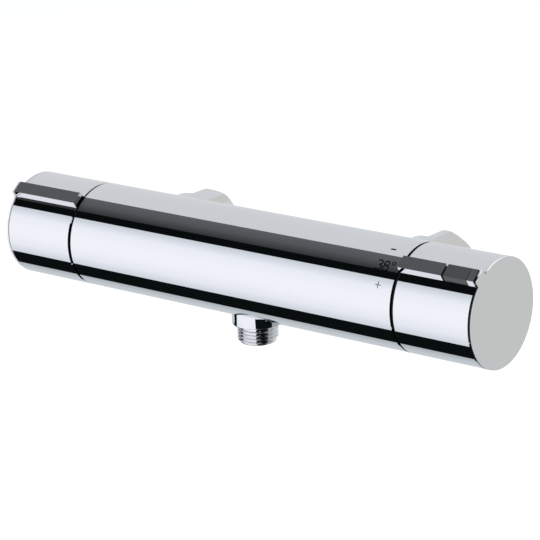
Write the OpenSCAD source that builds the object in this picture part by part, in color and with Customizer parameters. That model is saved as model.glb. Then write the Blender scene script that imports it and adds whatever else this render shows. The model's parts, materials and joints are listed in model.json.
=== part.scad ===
// Thermostatic bar shower mixer, millimetres.
// X runs along the bar towards the temperature knob, +Y into the wall, +Z up.
// The origin is midway between the two wall inlets, on the plane of their nuts' wall ends.

/* [Bar] */
// Outside diameter of the bar and of both knobs
bar_d = 54; // [54:0.5:60]
// Length of the bar beyond each wall inlet, up to the joint where a knob begins
end_len = 26; // [25:0.25:28]
// Wall of the chrome shell
shell_wall = 2; // [1.2:0.1:2.2]
// Width of the dark joint between the bar and a knob
joint_gap = 1; // [0.8:0.1:1.6]
// Bevel of the bar's and the knobs' rims
rim_bevel = 0.5; // [0.2:0.1:0.8]

/* [Knobs] */
// Length of a knob from the joint to the face of its end cap
knob_len = 44.2; // [44:0.1:52]
// Wall of a knob
knob_wall = 2.5; // [2:0.1:2.8]
// Angle of the flow knob's rib from the top towards the front, in degrees
flow_rib_angle = 38; // [20:0.5:60]
// Angle of the temperature knob's rib from the top towards the front, in degrees
temperature_rib_angle = 40; // [20:0.5:60]
// Width of the rib's flat top
rib_top_w = 6.8; // [5:0.1:7]
// Width of the rib where it leaves the knob
rib_base_w = 7.8; // [7.2:0.1:8.4]
// Distance of the rib's flat top from the bar's axis, less the knob's radius
rib_rise = 3.4; // [2.6:0.1:4.5]
// Thickness of the end caps
cap_t = 1; // [0.8:0.1:1.6]
// Dark gap between a knob and its end cap
cap_gap = 0.4; // [0.3:0.1:0.6]
// Colder travel of the temperature knob, in degrees
cold_turn = 200; // [120:5:200]
// Hotter travel of the temperature knob, in degrees
hot_turn = 50; // [20:5:50]
// Opening travel of the flow knob, in degrees
open_turn = 90; // [60:5:120]

/* [Safety button] */
// Length of rib between the button's gap and the knob's face
button_tail = 4.1; // [4.1:0.1:6]
// Length of the safety button along the knob
button_len = 12.6; // [10:0.1:13.4]
// Gap between the button and the rib on the end cap's side
button_gap = 0.35; // [0.2:0.05:0.4]
// Gap between the button and the rib on the joint's side
button_joint_gap = 1.15; // [0.2:0.05:1.2]
// How far the button goes in
button_travel = 2.2; // [1:0.1:2.2]

/* [Wall inlets] */
// Distance between the two inlets
inlet_spacing = 150; // [146:1:154]
// How far the inlets lie below the bar's axis
inlet_drop = 3; // [0:0.5:3]
// Distance of the nuts' wall ends from the bar's axis
wall_offset = 61; // [61:0.5:64]
// Diameter of the round bosses on the bar's back
boss_d = 38.4; // [36:0.1:40]
// Distance of the bosses' end faces from the bar's axis
boss_reach = 42; // [42:0.5:44]
// Width of a union nut across its flats
nut_af = 32; // [30:0.5:36]
// Core diameter of the nuts' G3/4 thread
nut_core_d = 24.12; // [24:0.01:24.3]

/* [Hose outlet] */
// Diameter of the outlet's collar
collar_d = 26.2; // [24:0.1:30]
// How far the collar's lower face stands below the bar
collar_out = 3.4; // [2.5:0.1:6]
// Outside diameter of the G1/2 hose thread
hose_thread_d = 20.955; // [20.8:0.005:21]
// Pitch of both pipe threads
thread_pitch = 1.814; // [1.5:0.001:2]
// Bore of the hose outlet
outlet_bore_d = 13.6; // [11:0.1:14.4]

/* [Hidden] */
$fn = 96;

// Clearances and overruns shared by all pieces
overrun = 1;
turn_fit = 0.1;
seat_fit = 0.1;
seal_fit = 0.02;
film = 0.02;
lip_gap = 0.3;

// Bar and shell. Places named with at, start or end lie along one end of the bar and are
// measured outwards from its joint, so that inner ones are negative.
bar_r = bar_d / 2;
shell_r = bar_r - shell_wall;
inlet_x = inlet_spacing / 2;
joint_x = inlet_x + end_len;
shell_end = -joint_gap / 2;
knob_start = joint_gap / 2;
boss_r = boss_d / 2;
boss_bevel = 1;
boss_wall = 2;
boss_end_wall = 2.5;

// Casting
channel_wall = 1.6;
port_wall = 3;
pocket_setback = 3.5;
pocket_end = shell_end - pocket_setback;
mixed_bore_r = 6.5;
mixed_tube_r = mixed_bore_r + port_wall;
thermo_bore_r = 15.5;
thermo_pocket_r = thermo_bore_r + port_wall;
thermo_floor = -61;
floor_t = 4;
flow_bore_r = 13;
flow_pocket_r = flow_bore_r + port_wall;
flow_floor = -43;
branch_bore_r = 8;
branch_r = 14.5;
socket_r = 11.3;
socket_depth = 12.5;
branch_floor_t = 2;
hot_channel_r = 3.3;
hot_channel_off = 19.6;
hot_port_r = 3;
hot_port_at = -44;
out_channel_r = 3.3;
out_channel_drop = 14;
out_channel_at = -32;
out_boss_r = 12;
spotface = 2.5;
spotface_fit = 0.3;
out_seat = bar_r - spotface;
out_socket_r = 9;
out_socket_depth = 6;
out_socket_floor = out_seat - out_socket_depth;
centring_w = 5;
centring_in = 2;

// Closing rings between the bar and the knobs
glide_inset = 0.9;
glide_r = bar_r - glide_inset;
glide_in_r = thermo_pocket_r + lip_gap;
glide_spigot_w = 2.2;
glide_spigot_t = 2;
glide_fit = 0.2;

// Pipe threads: flat crests with V grooves between them
thread_turns = 4;
thread_crest = 0.35;
thread_root = 0.25;
thread_depth = 1.162;
thread_len = thread_turns * thread_pitch + thread_crest;

// Inlet tailpieces, union nuts and what they hold, measured from the bar's axis
boss_inner = boss_reach - boss_end_wall;
socket_floor = boss_inner - socket_depth;
shank_r = socket_r - seat_fit;
neck_r = 10.8;
flange_r = 11.8;
nut_gap = 0.6;
nut_lip = 3.5;
nut_start = boss_reach + nut_gap;
nut_lip_end = nut_start + nut_lip;
nut_mouth = 0.7;
nut_core_r = nut_core_d / 2;
nut_mouth_r = nut_core_r + thread_depth;
nut_relief_r = nut_mouth_r + seat_fit;
nut_corner_r = nut_af / sqrt(3);
nut_rim = 0.2;
nut_bevel = 1;
nut_turned_r = nut_af / 2 + nut_rim + nut_bevel;
nut_angles = [5, 28];
flange_start = nut_lip_end + lip_gap;
flange_t = 3.6;
flange_end = flange_start + flange_t;
filter_t = 0.5;
filter_end = flange_end + filter_t;
filter_hole_r = 0.7;
filter_step = 2.3;
filter_rings = 3;
gasket_t = 2;
tail_bore_r = 8.3;
tail_throat_r = 7.2;
cage_len = 12.5;
cage_recess = 4.5;
cage_end = flange_end - cage_recess;
cage_start = cage_end - cage_len;
cage_wall = 1.2;
cage_seat_t = 2;
cage_seat_r = 5.2;
spider_t = 1.4;
spider_hub_r = 2.4;
spider_arm_w = 1.6;
spider_arms = 3;
poppet_r = 6.2;
poppet_t = 1.4;
poppet_gap = 0.2;
poppet_face = cage_end - cage_seat_t - poppet_gap;
poppet_back = poppet_face - poppet_t;
stem_r = 1.2;
stem_tail = 1.5;
check_coil_r = 3;
check_wire_r = 0.35;
check_turns = 5;
ring_w = 1.8;
ring_depth = 1.1;
tail_ring_in = 2.6;
tail_ring_at = socket_floor + tail_ring_in;

// Outlet nipple, measured from the bar's axis
collar_r = collar_d / 2;
collar_bevel = 0.8;
collar_edge = 0.4;
collar_end = bar_r + collar_out;
nipple_relief = 0.6;
hose_r = hose_thread_d / 2;
hose_root_r = hose_r - thread_depth;
nipple_tip = 1.7;
nipple_bevel = 0.5;
outlet_bore_r = outlet_bore_d / 2;
nipple_top = out_socket_floor + 2 * seat_fit;
nipple_shank_r = out_socket_r - seat_fit;
nipple_ring_in = 2.2;
nipple_ring_at = out_socket_floor + nipple_ring_in;

// Thermostatic cartridge
cart_r = thermo_bore_r - 2 * seat_fit;
cart_rise = 2;
cart_start = thermo_floor + cart_rise;
cart_wall_t = 3;
cart_floor = cart_start + cart_wall_t;
cart_mouth_r = 7.5;
cart_cavity_r = 10;
hot_seat = -45.4;
hot_window_w = 3;
cold_seat = -28.8;
cold_window_w = 2.7;
guide_start = -23;
carrier_end = -11;
window_r = 14.2;
window_arc = 60;
window_count = 4;
hot_recess = [-50.5, -39];
cold_recess = [-33.8, -19.5];
cart_rings = [-54, -37.4, -16];
cart_ring_depth = 1.4;
shuttle_bore_r = 12.2;
shuttle_r = shuttle_bore_r - turn_fit;
shuttle_start = -44;
shuttle_end = -30;
shuttle_cup_r = 10.6;
web_start = -41;
web_end = -39;
web_hole_r = 1.8;
web_hole_out = 8;
web_holes = 6;
bulb_r = 5;
bulb_len = 15.5;
element_flange_r = 5.9;
element_flange_t = 2.5;
element_stem_r = 3.8;
element_stem_end = -29.5;
pin_r = 1.5;
pin_end = -24;
return_coil_r = 8.2;
return_wire_r = 0.7;
return_turns = 5;
plunger_r = 8;
plunger_bore_r = 6;
plunger_start = -22;
plunger_wall_t = 2;
plunger_floor = plunger_start + plunger_wall_t;
plunger_end = -5;
key_w = 2.4;
key_h = 1.2;
key_start = -21;
key_end = -13;
nose_r = 2;
overload_plate_t = 1.5;
overload_coil_r = 4.5;
overload_wire_r = 0.6;
overload_turns = 4;
spring_plate_at = -12;
screw_start = -10;
thrust_start = -4.4;
thrust_end = -3.1;
thermo_nut_r = thermo_bore_r - seat_fit;
thermo_hex_r = thermo_pocket_r - 2 * seat_fit;
shaft_r = 4.5;
spindle_seal_at = 1;
spindle_seal_w = 1.6;
spindle_seal_depth = 1;

// Headpart with ceramic discs
head_r = flow_bore_r - seat_fit;
head_rise = 0.4;
head_start = flow_floor + head_rise;
head_hex_r = flow_pocket_r - seat_fit;
disc_r = 9.9;
disc_t = 3.5;
disc_fit = 0.15;
disc_hub_r = 2.5;
disc_port_r = 8;
disc_port_arc = 80;
head_chamber_r = disc_r + disc_fit;
head_recess_r = 11.7;
head_recess = [-39.5, -30];
seal_inner_r = 6.2;
seal_t = 2.5;
seal_end = flow_floor + seal_t;
moving_start = seal_end + disc_t + film;
fork_w = 3;
fork_in_r = 7.4;
fork_depth = 3;
driver_r = 9.3;
driver_start = -32;
driver_t = 3;
driver_end = driver_start + driver_t;
washer_t = 1;
washer_end = driver_end + washer_t;
flow_window = [-35.5, -31.5];
flow_shaft_r = 6;
flow_seals = [-16, -11];
head_ring_at = -9;
clip_t = 1;
clip_r = 7.6;
clip_depth = 0.8;

// Necks, stop rings and the knobs' inserts, alike at both ends
neck_start = -1;
neck_outer_r = 9.5;
neck_end = 6;
stop_end = 3;
stop_ring_r = 12.5;
stop_lug_r = 14.8;
stop_slack = 1.5;
tooth_half = 6;
tooth_gap = 0.2;
insert_start = 7.6;
insert_flange_t = 2;
insert_flange_r = 20;
insert_hub_r = 10;
spline_teeth = 20;
spline_r = 4.1;
spline_depth = 0.5;
spline_start = 6.5;
clip_start = neck_end + turn_fit;
flow_spline_start = clip_start + clip_t + turn_fit;
spindle_end = 21;
spindle_tip_gap = 0.4;
arm_slot_w = 4.4;
arm_slot_r = 14.4;
fixing_r = 1.9;
fixing_hole_r = 2.2;
fixing_start = 11;
fixing_drill_start = 9;
fixing_head_r = 3.6;
fixing_head_t = 2.5;
fixing_socket_r = 1.8;
fixing_socket_t = 1.5;

// Knobs
knob_r = bar_r;
knob_in_r = knob_r - knob_wall;
rib_top = knob_r + rib_rise;
rib_foot_r = knob_r - rib_rise / 4;
cap_back = knob_len - cap_t;
knob_face = cap_back - cap_gap;
web_t = 3;
knob_web = knob_face - web_t;
sleeve_t = 2.4;
sleeve_bore_r = insert_hub_r + seat_fit;
sleeve_r = sleeve_bore_r + sleeve_t;
sleeve_start = 13;
sleeve_floor_t = 3;
pocket_depth = 6.8;
screw_seat = knob_face - pocket_depth;
sleeve_floor = screw_seat - sleeve_floor_t;
pocket_r = 9;
cap_spigot_r = pocket_r - seat_fit;
cap_spigot_t = 1.8;
cap_spigot_len = 4.2;
cap_notch_w = 1.4;
cap_notch_d = 0.7;
knob_mouth_bevel = 0.4;

// Safety button: its parts lie at distances from the bar's axis
button_end = knob_face - button_tail - button_gap;
button_start = button_end - button_len;
button_mid = button_start + button_len / 2;
slot_start = button_start - button_joint_gap;
slot_end = button_end + button_gap;
button_side_fit = 0.05;
button_half_w = rib_base_w / 2 - button_side_fit;
slot_fit = 0.2;
slot_half_w = rib_base_w / 2 + slot_fit;
lip_half_w = 5.4;
lip_t = 1.6;
lip_over = 0.65;
lip_start = slot_start - lip_over;
lip_end = slot_end + lip_over;
lip_top = sqrt(pow(knob_in_r, 2) - pow(lip_half_w, 2)) - film;
lip_bottom = lip_top - lip_t;
button_stem_r = 1.4;
stem_end_r = 17.2;
arm_end = 2.5;
arm_t = 1.6;
arm_w = 3;
riser_w = 2;
seat_pad_r = 3.2;
stem_spare = 1;
seat_pad_top = stem_end_r - button_travel - stem_spare;
button_coil_r = 2.3;
button_wire_r = 0.3;
button_turns = 5;

chrome = "#c8ccd0";
brass = "#c9a24a";
steel = "#9aa0a6";
rubber = "#202224";
plastic = "#e8e6df";
black_plastic = "#2b2d30";
ceramic = "#f4f2ea";
satin = "#c1c3c2";
button_grey = "#4c4d4b";

// Places on the object

// The middle of the bar
module bar() {
    translate([0, -wall_offset, inlet_drop]) children();
}

// The whole bar: local +Z runs along it from its middle to the temperature end
module along() {
    bar() rotate([0, 90, 0]) children();
}

// One end of the bar: local +Z runs outwards from the joint
module bar_end(side) {
    mirror([side < 0 ? 1 : 0, 0, 0]) along() translate([0, 0, joint_x]) children();
}

// Turned about the bar: local +X points at the given angle from the top to the front
module facing(angle) {
    rotate([0, 0, 180 + angle]) children();
}

// One wall inlet: local +Z runs from the bar's axis into the wall
module inlet(side) {
    translate([side * inlet_x, -wall_offset, 0]) rotate([-90, 0, 0]) children();
}

// The hose outlet: local +Z runs down from the bar's axis
module outlet() {
    bar() rotate([180, 0, 0]) children();
}

// Shapes used by many pieces

module rod(from, to, r) {
    translate([0, 0, from]) cylinder(h = to - from, r = r);
}

module tube(from, to, outer, inner) {
    difference() {
        rod(from, to, outer);
        rod(from - overrun, to + overrun, inner);
    }
}

module turned(profile) {
    rotate_extrude() polygon(profile);
}

// A rod with bevelled ends
module bevelled(from, to, r, first, last) {
    turned([[0, from], [r - first, from], [r, from + first], [r, to - last], [r - last, to], [0, to]]);
}

// A slice of a ring about local Z, centred on an angle
module sector(from, to, inner, outer, middle, arc) {
    translate([0, 0, from]) rotate([0, 0, middle - arc / 2])
        rotate_extrude(angle = arc) translate([inner, 0]) square([outer - inner, to - from]);
}

// A helical spring from z = 0 to its length, ends ground to the wire
coil_sides = 6;
coil_steps = 12;
function coil_ring(r, wire, len, turns, i) =
    let (share = i / (coil_steps * turns), a = 360 * turns * share)
    [for (j = [0:coil_sides - 1])
        let (b = 360 * j / coil_sides, reach = r + wire * cos(b))
        [reach * cos(a), reach * sin(a), wire + (len - 2 * wire) * share + wire * sin(b)]];

module coil(r, wire, len, turns) {
    n = coil_steps * turns;
    m = coil_sides;
    points = [for (i = [0:n]) each coil_ring(r, wire, len, turns, i)];
    walls = [for (i = [0:n - 1], j = [0:m - 1])
        let (a = i * m + j, b = i * m + (j + 1) % m) each [[a, a + m, b], [b, a + m, b + m]]];
    first = [for (j = [0:m - 1]) j];
    last = [for (j = [m - 1:-1:0]) n * m + j];
    polyhedron(points, concat(walls, [first, last]));
}

// Outline of a pipe thread from z = 0: crest radius, root radius
function thread_points(crest_r, root_r) =
    [for (i = [0:thread_turns - 1])
        let (z = i * thread_pitch, middle = z + (thread_pitch + thread_crest) / 2)
        each [
            [crest_r, z], [crest_r, z + thread_crest],
            [root_r, middle - thread_root / 2], [root_r, middle + thread_root / 2]
        ]];
function thread_end(crest_r) =
    [[crest_r, thread_turns * thread_pitch], [crest_r, thread_len]];

// A seal ring lying in a groove of its own size
module groove(at, width, bottom_r, outer) {
    tube(at, at + width, outer + overrun, bottom_r);
}

module spline(r, from, to) {
    translate([0, 0, from]) linear_extrude(to - from)
        polygon([for (i = [0:2 * spline_teeth - 1])
            let (a = 180 * i / spline_teeth, reach = r - (i % 2) * spline_depth)
            [reach * cos(a), reach * sin(a)]]);
}

// Bar and water way

module body_shell() color(chrome) difference() {
    union() {
        along() bevelled(-joint_x - shell_end, joint_x + shell_end, bar_r, rim_bevel, rim_bevel);
        for (side = [-1, 1]) inlet(side) bevelled(0, boss_reach, boss_r, 0, boss_bevel);
    }
    along() rod(-joint_x, joint_x, shell_r);
    for (side = [-1, 1]) inlet(side) {
        rod(0, boss_inner, boss_r - boss_wall);
        rod(0, boss_reach + overrun, socket_r);
    }
    outlet() {
        rod(0, bar_r + overrun, out_boss_r + seat_fit);
        rod(out_seat - seat_fit, bar_r + overrun, collar_r + spotface_fit);
    }
}

module waterway() color(brass) difference() {
    union() {
        bar_end(1) rod(thermo_floor - floor_t, pocket_end, thermo_pocket_r);
        bar_end(-1) rod(flow_floor - floor_t, pocket_end, flow_pocket_r);
        along() rod(-joint_x - flow_floor, joint_x + thermo_floor, mixed_tube_r);
        for (side = [-1, 1]) inlet(side) rod(mixed_bore_r, boss_inner, branch_r);
        hot_channel(hot_channel_r + channel_wall, channel_wall);
        out_channel(out_channel_r + channel_wall, channel_wall);
        outlet() rod(mixed_bore_r + channel_wall, out_seat, out_boss_r);
    }
    bar_end(1) rod(thermo_floor, pocket_end + overrun, thermo_bore_r);
    bar_end(-1) rod(flow_floor, pocket_end + overrun, flow_bore_r);
    along() rod(-joint_x - flow_floor - overrun, joint_x + thermo_floor + overrun, mixed_bore_r);
    inlet(-1) rod(flow_pocket_r + branch_floor_t, boss_reach, branch_bore_r);
    inlet(1) rod(thermo_bore_r - port_wall, boss_reach, branch_bore_r);
    for (side = [-1, 1]) inlet(side) rod(socket_floor, boss_reach, socket_r);
    hot_channel(hot_channel_r, 0);
    translate([joint_x + hot_port_at, -wall_offset, 0]) rotate([-90, 0, 0])
        rod(thermo_bore_r - port_wall, hot_channel_off, hot_port_r);
    out_channel(out_channel_r, 0);
    outlet() {
        rod(out_channel_drop, out_socket_floor + overrun, outlet_bore_r);
        rod(out_socket_floor, out_seat + overrun, out_socket_r);
    }
}

// Carries hot water behind the mixed tube to the temperature end
module hot_channel(r, longer) {
    translate([-inlet_x - longer, -wall_offset + hot_channel_off, 0]) rotate([0, 90, 0])
        cylinder(h = inlet_x + joint_x + hot_port_at + hot_port_r + 2 * longer, r = r);
}

// Carries mixed water from the headpart to the hose outlet
module out_channel(r, longer) {
    bar() translate([-joint_x - out_channel_at - longer, 0, -out_channel_drop]) rotate([0, 90, 0])
        cylinder(h = joint_x + out_channel_at + longer, r = r);
}

module centring_rings() color(black_plastic) {
    end = pocket_end - centring_in;
    bar_end(1) tube(end - centring_w, end, shell_r - seat_fit, thermo_pocket_r + seat_fit);
    bar_end(-1) tube(end - centring_w, end, shell_r - seat_fit, flow_pocket_r + seat_fit);
}

module glide_ring() color(black_plastic) {
    outer = shell_r - seat_fit;
    turned([
        [glide_in_r, shell_end], [outer - glide_spigot_t, shell_end],
        [outer - glide_spigot_t, shell_end - glide_spigot_w], [outer, shell_end - glide_spigot_w],
        [outer, shell_end],
        [glide_r, shell_end], [glide_r, knob_start - glide_fit], [glide_in_r, knob_start - glide_fit]
    ]);
}

module left_glide_ring() bar_end(-1) glide_ring();
module right_glide_ring() bar_end(1) glide_ring();

// Wall inlets

module tailpiece() color(chrome) difference() {
    union() {
        rod(socket_floor, boss_reach, shank_r);
        rod(boss_reach, flange_start, neck_r);
        rod(flange_start, flange_end, flange_r);
    }
    rod(socket_floor - overrun, flange_end, tail_throat_r);
    rod(cage_start, flange_end + overrun, tail_bore_r);
    groove(tail_ring_at, ring_w, shank_r - ring_depth, shank_r);
}

// The nut's thread is cut from its wall end inwards
module union_nut(turn) color(chrome) difference() {
    intersection() {
        rotate([0, 0, turn]) translate([0, 0, nut_start])
            cylinder(h = wall_offset - nut_start, r = nut_corner_r, $fn = 6);
        nut_envelope();
    }
    rod(nut_start - overrun, wall_offset + overrun, neck_r + turn_fit);
    rod(nut_lip_end, wall_offset - nut_mouth - thread_len, nut_relief_r);
    translate([0, 0, wall_offset]) mirror([0, 0, 1]) turned(concat(
        [[0, -overrun], [nut_mouth_r, -overrun], [nut_mouth_r, 0]],
        [for (p = thread_points(nut_core_r, nut_mouth_r)) p + [0, nut_mouth]],
        [for (p = thread_end(nut_core_r)) p + [0, nut_mouth]],
        [[0, nut_mouth + thread_len]]
    ));
}

// Turned envelope that rounds the hexagon's corners and bevels them at both ends
module nut_envelope() {
    r = nut_turned_r;
    turned([
        [0, nut_start], [r - nut_bevel, nut_start], [r, nut_start + nut_bevel],
        [r, wall_offset - nut_bevel], [r - nut_bevel, wall_offset], [0, wall_offset]
    ]);
}

module gasket() color(rubber) {
    tube(filter_end, filter_end + gasket_t, flange_r, tail_bore_r);
}

module filter() color(steel) difference() {
    rod(flange_end, filter_end, flange_r);
    for (ring = [0:filter_rings], k = [0:max(6 * ring, 1) - 1])
        rotate([0, 0, 60 * k / max(ring, 1)]) translate([ring * filter_step, 0, 0])
            rod(flange_end - overrun, filter_end + overrun, filter_hole_r);
}

module check_cage() color(plastic) {
    outer = tail_bore_r - seat_fit;
    inner = outer - cage_wall;
    difference() {
        union() {
            tube(cage_start, cage_end, outer, inner);
            tube(cage_end - cage_seat_t, cage_end, outer, cage_seat_r);
            rod(cage_start, cage_start + spider_t, spider_hub_r);
            for (k = [0:spider_arms - 1]) rotate([0, 0, 360 * k / spider_arms])
                translate([0, -spider_arm_w / 2, cage_start]) cube([inner + cage_wall / 2, spider_arm_w, spider_t]);
        }
        rod(cage_start - overrun, cage_start + spider_t + overrun, stem_r + turn_fit);
    }
}

module check_poppet() color(black_plastic) {
    rod(poppet_back, poppet_face, poppet_r);
    rod(cage_start - stem_tail, poppet_back, stem_r);
}

module check_spring() color(steel) {
    from = cage_start + spider_t;
    translate([0, 0, from]) coil(check_coil_r, check_wire_r, poppet_back - from, check_turns);
}

module left_tailpiece() inlet(-1) tailpiece();
module right_tailpiece() inlet(1) tailpiece();
module left_union_nut() inlet(-1) union_nut(nut_angles[0]);
module right_union_nut() inlet(1) union_nut(nut_angles[1]);
module left_gasket() inlet(-1) gasket();
module right_gasket() inlet(1) gasket();
module left_filter() inlet(-1) filter();
module right_filter() inlet(1) filter();
module left_check_cage() inlet(-1) check_cage();
module right_check_cage() inlet(1) check_cage();
module left_check_poppet() inlet(-1) check_poppet();
module right_check_poppet() inlet(1) check_poppet();
module left_check_spring() inlet(-1) check_spring();
module right_check_spring() inlet(1) check_spring();

module tailpiece_o_rings() color(rubber) {
    for (side = [-1, 1]) inlet(side)
        tube(tail_ring_at, tail_ring_at + ring_w, socket_r - seal_fit, shank_r - ring_depth);
}

// Hose outlet

module outlet_nipple() color(chrome) outlet() {
    thread_start = collar_end + nipple_relief;
    tip = thread_start + thread_len;
    difference() {
        union() {
            rod(nipple_top, out_seat, nipple_shank_r);
            bevelled(out_seat, collar_end, collar_r, collar_bevel, collar_edge);
            translate([0, 0, thread_start]) turned(concat(
                [[0, -nipple_relief], [hose_root_r, -nipple_relief], [hose_root_r, -nipple_relief / 2]],
                thread_points(hose_r, hose_root_r), thread_end(hose_r), [[0, thread_len]]
            ));
            bevelled(tip, tip + nipple_tip, hose_root_r, 0, nipple_bevel);
        }
        rod(nipple_top - overrun, tip + nipple_tip + overrun, outlet_bore_r);
        groove(nipple_ring_at, ring_w, nipple_shank_r - ring_depth, nipple_shank_r);
    }
}

module outlet_o_ring() color(rubber) outlet() {
    tube(nipple_ring_at, nipple_ring_at + ring_w, out_socket_r - seal_fit, nipple_shank_r - ring_depth);
}

// Thermostatic cartridge

module cart_windows(from, width) {
    for (k = [0:window_count - 1])
        sector(from, from + width, shuttle_bore_r / 2, cart_r + overrun, 360 * k / window_count, window_arc);
}

module cart_grooves() {
    for (at = cart_rings) groove(at, ring_w, cart_r - cart_ring_depth, cart_r);
}

module thermostat_housing() color(plastic) bar_end(1) difference() {
    rod(cart_start, cold_seat, cart_r);
    rod(cart_start - overrun, cold_seat, cart_mouth_r);
    rod(cart_floor, cold_seat, cart_cavity_r);
    rod(hot_seat, cold_seat + overrun, shuttle_bore_r);
    tube(hot_recess[0], hot_recess[1], cart_r + overrun, window_r);
    tube(cold_recess[0], cold_seat + overrun, cart_r + overrun, window_r);
    cart_windows(hot_seat, hot_window_w);
    cart_windows(cold_seat - cold_window_w, cold_window_w + overrun);
    cart_grooves();
}

module thermostat_carrier() color(plastic) bar_end(1) difference() {
    rod(cold_seat, carrier_end, cart_r);
    rod(cold_seat - overrun, guide_start, cart_cavity_r);
    rod(guide_start - overrun, carrier_end + overrun, plunger_r + turn_fit);
    for (half = [0, 180]) rotate([0, 0, half]) plunger_key(guide_start - overrun, carrier_end + overrun, turn_fit);
    tube(cold_seat - overrun, cold_recess[1], cart_r + overrun, window_r);
    cart_grooves();
}

// A key of the plunger, or with a fit its way in the carrier
module plunger_key(from, to, fit) {
    translate([0, -key_w / 2 - fit, from]) cube([plunger_r + key_h + fit, key_w + 2 * fit, to - from]);
}

module thermostat_nut() color(brass) bar_end(1) difference() {
    union() {
        rod(carrier_end, pocket_end, thermo_nut_r);
        translate([0, 0, pocket_end]) cylinder(h = neck_start - pocket_end, r = thermo_hex_r, $fn = 6);
        rod(neck_start, neck_end, neck_outer_r);
    }
    rod(carrier_end - overrun, thrust_end + turn_fit, plunger_r + 2 * turn_fit);
    rod(carrier_end, neck_end + overrun, shaft_r + turn_fit);
}

module thermostat_o_rings() color(rubber) bar_end(1) {
    for (at = cart_rings)
        tube(at, at + ring_w, thermo_bore_r - seal_fit, cart_r - cart_ring_depth);
}

module wax_element() color("#b5793d") bar_end(1) {
    bevelled(web_end - bulb_len, web_end, bulb_r, bulb_r / 4, 0);
    rod(web_end, web_end + element_flange_t, element_flange_r);
    rod(web_end + element_flange_t, element_stem_end, element_stem_r);
    rod(element_stem_end, pin_end, pin_r);
}

module shuttle() color(black_plastic) bar_end(1) difference() {
    rod(shuttle_start, shuttle_end, shuttle_r);
    rod(shuttle_start - overrun, web_start, shuttle_cup_r);
    rod(web_end, shuttle_end + overrun, shuttle_cup_r);
    rod(web_start - overrun, web_end + overrun, bulb_r + seat_fit);
    for (k = [0:web_holes - 1]) rotate([0, 0, 360 * k / web_holes]) translate([web_hole_out, 0, 0])
        rod(web_start - overrun, web_end + overrun, web_hole_r);
}

module return_spring() color(steel) bar_end(1) {
    translate([0, 0, cart_floor])
        coil(return_coil_r, return_wire_r, web_start - cart_floor, return_turns);
}

module plunger() color(brass) bar_end(1) difference() {
    union() {
        rod(plunger_start, plunger_end, plunger_r);
        for (half = [0, 180]) rotate([0, 0, half]) plunger_key(key_start, key_end, 0);
    }
    rod(plunger_start - overrun, plunger_end, nose_r + 2 * turn_fit);
    rod(plunger_floor, plunger_end + overrun, plunger_bore_r);
}

module overload_cap() color(brass) bar_end(1) {
    rod(pin_end, plunger_floor, nose_r);
    rod(plunger_floor, plunger_floor + overload_plate_t, plunger_bore_r - lip_gap);
}

module overload_spring() color(steel) bar_end(1) {
    from = plunger_floor + overload_plate_t;
    translate([0, 0, from])
        coil(overload_coil_r, overload_wire_r, spring_plate_at - from, overload_turns);
}

module spring_plate() color(brass) bar_end(1) {
    rod(spring_plate_at, spring_plate_at + overload_plate_t, plunger_bore_r - seat_fit);
}

module fixing_drill() {
    rod(fixing_drill_start, spindle_end + overrun, fixing_r + seat_fit);
}

module temperature_spindle() color(brass) bar_end(1) difference() {
    union() {
        rod(screw_start, thrust_start, plunger_bore_r - turn_fit);
        rod(thrust_start, thrust_end, plunger_r - turn_fit);
        rod(thrust_end, spline_start, shaft_r);
        spline(spline_r, spline_start, spindle_end);
    }
    groove(spindle_seal_at, spindle_seal_w, shaft_r - spindle_seal_depth, shaft_r);
    fixing_drill();
}

module spindle_seal() color(rubber) bar_end(1) {
    tube(spindle_seal_at, spindle_seal_at + spindle_seal_w, shaft_r + turn_fit - seal_fit,
        shaft_r - spindle_seal_depth);
}

// Headpart with ceramic discs

module flow_housing() color(brass) bar_end(-1) difference() {
    union() {
        rod(head_start, pocket_end, head_r);
        translate([0, 0, pocket_end]) cylinder(h = neck_start - pocket_end, r = head_hex_r, $fn = 6);
        rod(neck_start, neck_end, neck_outer_r);
    }
    rod(head_start - overrun, washer_end, head_chamber_r);
    rod(washer_end - overrun, neck_end + overrun, flow_shaft_r + turn_fit);
    tube(head_recess[0], head_recess[1], head_r + overrun, head_recess_r);
    for (k = [0:window_count - 1])
        sector(flow_window[0], flow_window[1], head_chamber_r - overrun, head_r + overrun,
            360 * k / window_count, window_arc);
    groove(head_ring_at, ring_w, head_r - ring_depth, head_r);
}

module flow_o_rings() color(rubber) bar_end(-1) {
    tube(head_ring_at, head_ring_at + ring_w, flow_bore_r - seal_fit, head_r - ring_depth);
    for (at = flow_seals)
        tube(at, at + ring_w, flow_shaft_r + turn_fit - seal_fit, flow_shaft_r - ring_depth);
}

module seat_seal() color(rubber) bar_end(-1) tube(flow_floor, seal_end, disc_r, seal_inner_r);

module disc_ports(from, to, turn) {
    for (half = [0, 180]) sector(from, to, disc_hub_r, disc_port_r, half + turn, disc_port_arc);
}

module fixed_disc() color(ceramic) bar_end(-1) difference() {
    rod(seal_end, seal_end + disc_t, disc_r);
    disc_ports(seal_end - overrun, seal_end + disc_t + overrun, 0);
}

module moving_disc() color(ceramic) bar_end(-1) difference() {
    rod(moving_start, moving_start + disc_t, disc_r);
    disc_ports(moving_start - overrun, moving_start + disc_t + overrun, 90);
    for (half = [0, 180]) rotate([0, 0, half])
        translate([fork_in_r - turn_fit, -fork_w / 2 - turn_fit, driver_start - fork_depth - turn_fit])
            cube([disc_r, fork_w + 2 * turn_fit, disc_t]);
}

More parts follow.
